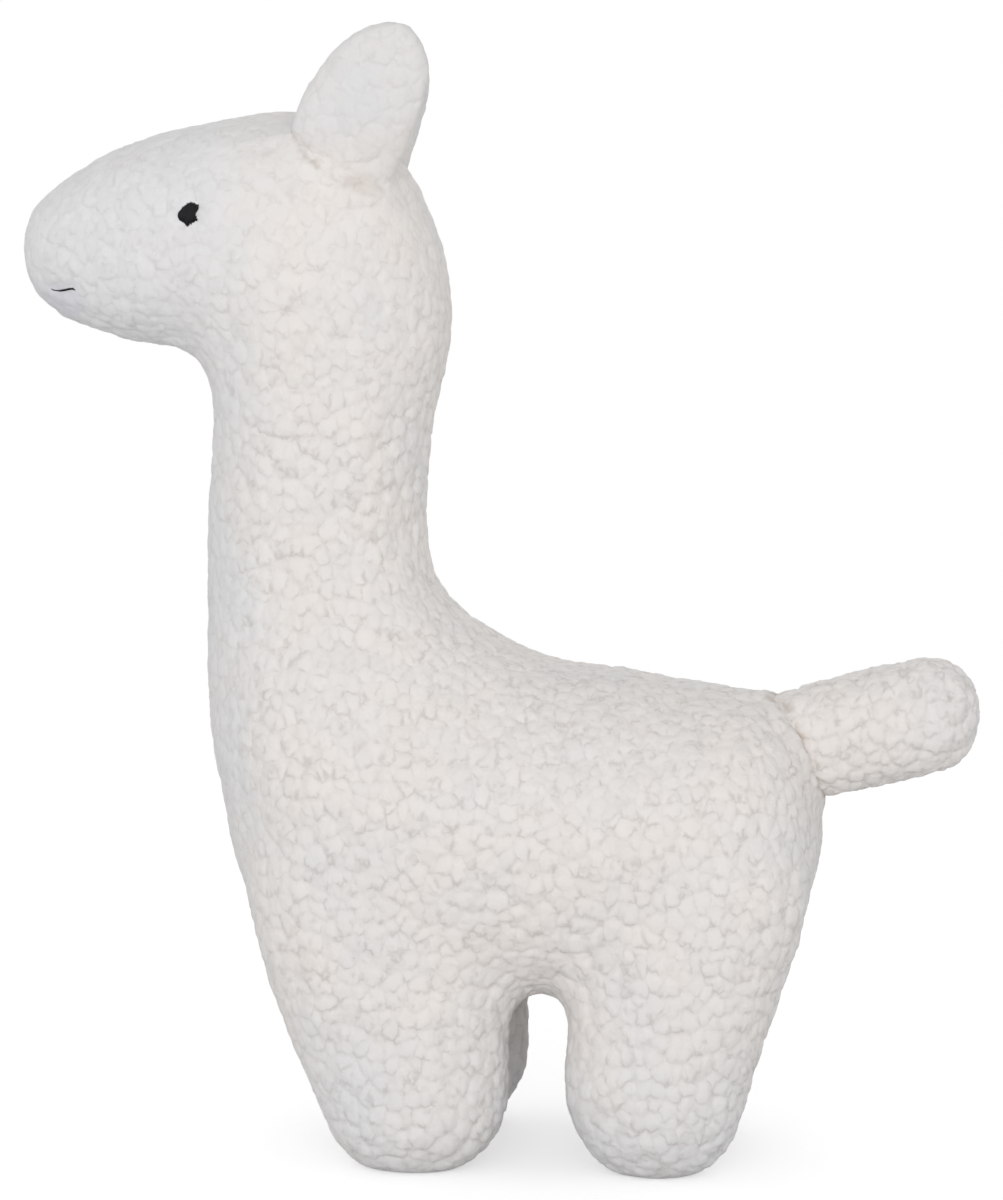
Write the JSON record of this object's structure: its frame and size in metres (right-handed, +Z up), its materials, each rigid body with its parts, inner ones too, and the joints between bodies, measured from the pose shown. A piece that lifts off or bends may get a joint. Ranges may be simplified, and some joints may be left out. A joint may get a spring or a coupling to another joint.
{
  "type": "plush llama",
  "caption": "Stuffed toy llama in cream curly fleece, standing on four stubby legs, with a long neck, upright ears, a thick tail and a stitched face.",
  "frame": {"origin": "on the ground, under the middle of the toy's overall length and width", "axes": "+Z up, -X towards the nose, +X towards the tail, -Y towards the toy's own left side"},
  "size_m": [0.2794, 0.1014, 0.3282],
  "materials": {
    "body_fleece": "cream polyester teddy fleece with small round wool-like curls",
    "ear_fleece": "the same cream teddy fleece, two layers sewn together",
    "tail_fleece": "the same cream teddy fleece, sewn as a stuffed tube",
    "eye_thread": "black embroidery thread in dense satin stitch",
    "mouth_thread": "black embroidery thread in a fine line stitch"
  },
  "bodies": {
    "root": {"body": "body_fleece", "ear_left": "ear_fleece", "ear_right": "ear_fleece", "tail": "tail_fleece", "eye_left": "eye_thread", "eye_right": "eye_thread", "mouth_left": "mouth_thread", "mouth_right": "mouth_thread"}
  },
  "joints": []
}
